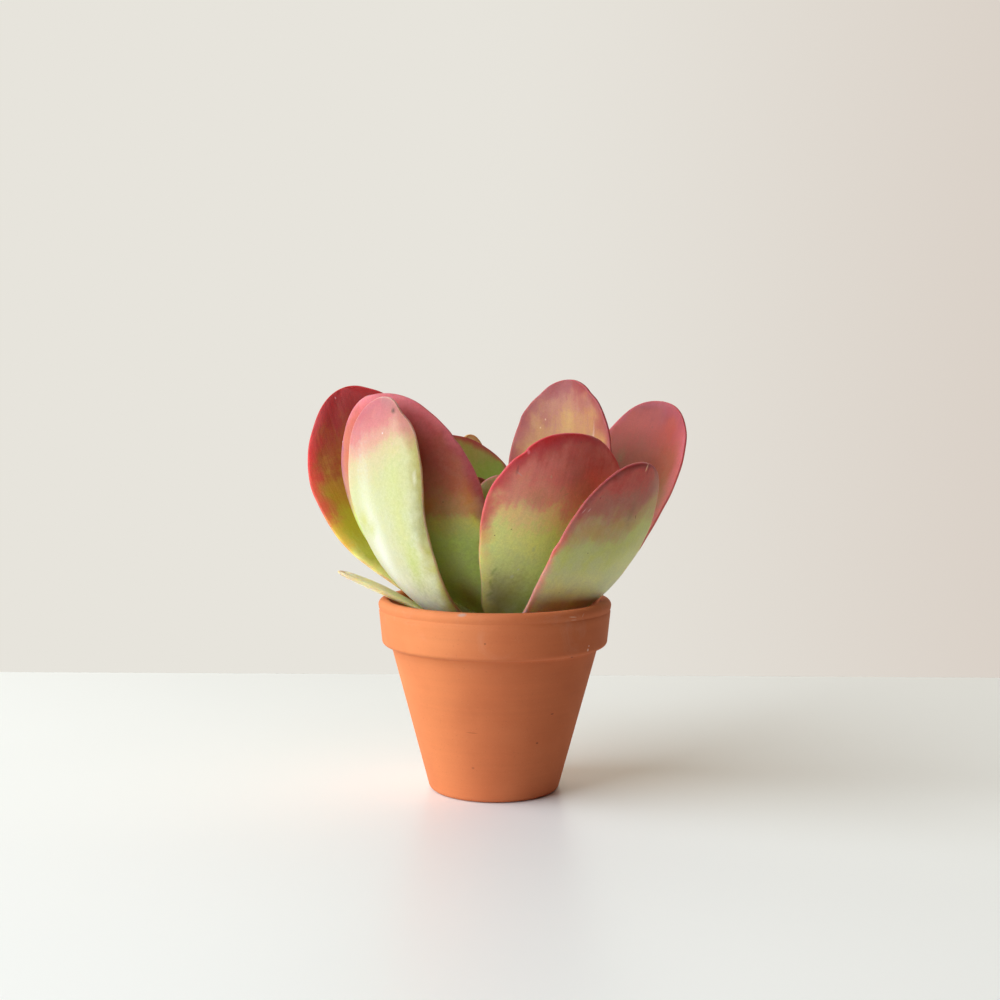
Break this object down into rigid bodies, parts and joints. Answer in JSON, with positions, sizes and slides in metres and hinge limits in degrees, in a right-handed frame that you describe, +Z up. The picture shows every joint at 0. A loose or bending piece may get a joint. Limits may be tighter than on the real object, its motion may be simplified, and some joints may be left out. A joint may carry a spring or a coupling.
{
  "type": "potted kalanchoe",
  "caption": "Paddle-leaved succulent with fleshy, red-tipped leaves in opposite pairs on a short stem, growing in a tapered clay flower pot with a collar.",
  "frame": {"origin": "on the pot's axis, at the face that the pot stands on", "axes": "+Z up out of the pot, +X to the right and +Y to the back, as the picture sees it"},
  "size_m": [0.1869, 0.1102, 0.1938],
  "materials": {
    "terracotta": "matte",
    "potting_mix": "matte",
    "root": "matte",
    "stem": "satin",
    "leaf_old_left": "satin",
    "leaf_old_back": "satin",
    "leaf_outer_front_right": "satin",
    "leaf_outer_back_left": "satin",
    "leaf_outer_front_left": "satin",
    "leaf_outer_back_right": "satin",
    "leaf_inner_front_right": "satin",
    "leaf_inner_back_left": "satin",
    "leaf_inner_front_left": "satin",
    "leaf_inner_back_right": "satin",
    "leaf_young_front_right": "satin",
    "leaf_young_back_left": "satin",
    "leaf_bud": "satin"
  },
  "bodies": {
    "root": {"terracotta_pot": "terracotta", "potting_soil": "potting_mix", "roots": "root", "stem": "stem", "leaf_old_left": "leaf_old_left", "leaf_old_back": "leaf_old_back", "leaf_outer_front_right": "leaf_outer_front_right", "leaf_outer_back_left": "leaf_outer_back_left", "leaf_outer_front_left": "leaf_outer_front_left", "leaf_outer_back_right": "leaf_outer_back_right", "leaf_inner_front_right": "leaf_inner_front_right", "leaf_inner_back_left": "leaf_inner_back_left", "leaf_inner_front_left": "leaf_inner_front_left", "leaf_inner_back_right": "leaf_inner_back_right", "leaf_young_front_right": "leaf_young_front_right", "leaf_young_back_left": "leaf_young_back_left", "leaf_bud_front_left": "leaf_bud", "leaf_bud_back_right": "leaf_bud"}
  },
  "joints": []
}
